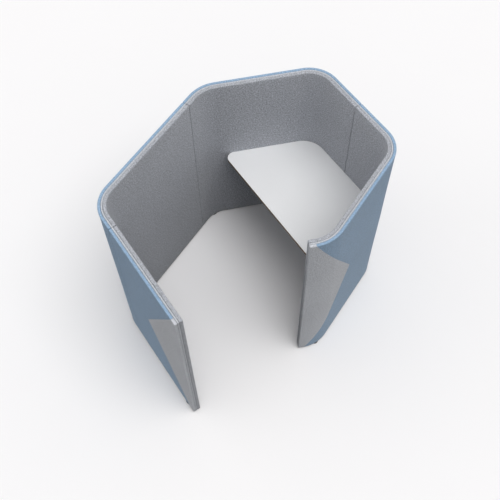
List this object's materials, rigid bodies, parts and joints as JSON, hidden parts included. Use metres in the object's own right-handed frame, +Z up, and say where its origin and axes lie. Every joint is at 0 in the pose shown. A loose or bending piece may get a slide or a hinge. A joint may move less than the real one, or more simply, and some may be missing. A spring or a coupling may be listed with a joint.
{
  "type": "study carrel",
  "caption": "Upholstered study carrel: a tall padded screen wraps round a seat and a fixed trapezoidal worktop, with an open doorway at one side, on levelling feet.",
  "frame": {"origin": "on the floor, at the middle of the screen's footprint", "axes": "+Y towards the back wall that the user faces, which is the longest extent; +X towards the open doorway side, the shortest extent; +Z up"},
  "size_m": [1.3984, 1.7642, 1.42],
  "materials": {
    "blue_wool": "matte",
    "grey_wool": "matte",
    "light_wool": "matte",
    "plywood": "matte",
    "birch_edge": "satin",
    "white_laminate": "satin",
    "black_steel": "satin",
    "zinc_steel": "satin",
    "black_nylon": "matte"
  },
  "bodies": {
    "screen": {"right_wing_outer_pad": "blue_wool", "right_wing_core": "plywood", "right_wing_rim_band": "light_wool", "right_wing_inner_pad": "grey_wool", "left_wing_outer_pad": "blue_wool", "left_wing_core": "plywood", "left_wing_rim_band": "light_wool", "left_wing_inner_pad": "grey_wool", "left_side_outer_pad": "blue_wool", "left_side_core": "plywood", "left_side_rim_band": "light_wool", "left_side_inner_pad": "grey_wool", "front_flap_outer_pad": "blue_wool", "front_flap_core": "plywood", "front_flap_rim_band": "light_wool", "front_flap_inner_pad": "grey_wool", "right_wing_patch": "light_wool", "front_flap_patch": "light_wool", "joining_strip_back": "zinc_steel", "rim_clip_back": "zinc_steel", "joining_strip_left": "zinc_steel", "rim_clip_left": "zinc_steel", "joining_strip_front": "zinc_steel", "rim_clip_front": "zinc_steel", "foot_bracket_right_front": "zinc_steel", "foot_bracket_right_back": "zinc_steel", "foot_bracket_left_back": "zinc_steel", "foot_bracket_left_middle": "zinc_steel", "foot_bracket_left_front": "zinc_steel", "foot_bracket_flap_end": "zinc_steel", "worktop_laminate": "white_laminate", "worktop_board": "birch_edge", "worktop_balance_sheet": "white_laminate", "worktop_angle_left": "black_steel", "angle_bolt_left_1": "black_steel", "core_tee_nut_left_1": "zinc_steel", "angle_bolt_left_2": "black_steel", "core_tee_nut_left_2": "zinc_steel", "worktop_angle_right": "black_steel", "angle_bolt_right_1": "black_steel", "core_tee_nut_right_1": "zinc_steel", "angle_bolt_right_2": "black_steel", "core_tee_nut_right_2": "zinc_steel", "worktop_angle_back": "black_steel", "angle_bolt_back_1": "black_steel", "core_tee_nut_back_1": "zinc_steel", "angle_bolt_back_2": "black_steel", "core_tee_nut_back_2": "zinc_steel"},
    "foot_right_front": {"foot_stem_right_front": "zinc_steel", "foot_glide_right_front": "black_nylon"},
    "foot_right_back": {"foot_stem_right_back": "zinc_steel", "foot_glide_right_back": "black_nylon"},
    "foot_left_back": {"foot_stem_left_back": "zinc_steel", "foot_glide_left_back": "black_nylon"},
    "foot_left_middle": {"foot_stem_left_middle": "zinc_steel", "foot_glide_left_middle": "black_nylon"},
    "foot_left_front": {"foot_stem_left_front": "zinc_steel", "foot_glide_left_front": "black_nylon"},
    "foot_flap_end": {"foot_stem_flap_end": "zinc_steel", "foot_glide_flap_end": "black_nylon"}
  },
  "joints": [
    {"name": "level_right_front", "type": "slide", "parent": "screen", "child": "foot_right_front", "axis": [0, 0, -1], "range_m": [-0.005, 0.012]},
    {"name": "level_right_back", "type": "slide", "parent": "screen", "child": "foot_right_back", "axis": [0, 0, -1], "range_m": [-0.005, 0.012]},
    {"name": "level_left_back", "type": "slide", "parent": "screen", "child": "foot_left_back", "axis": [0, 0, -1], "range_m": [-0.005, 0.012]},
    {"name": "level_left_middle", "type": "slide", "parent": "screen", "child": "foot_left_middle", "axis": [0, 0, -1], "range_m": [-0.005, 0.012]},
    {"name": "level_left_front", "type": "slide", "parent": "screen", "child": "foot_left_front", "axis": [0, 0, -1], "range_m": [-0.005, 0.012]},
    {"name": "level_flap_end", "type": "slide", "parent": "screen", "child": "foot_flap_end", "axis": [0, 0, -1], "range_m": [-0.005, 0.012]}
  ]
}
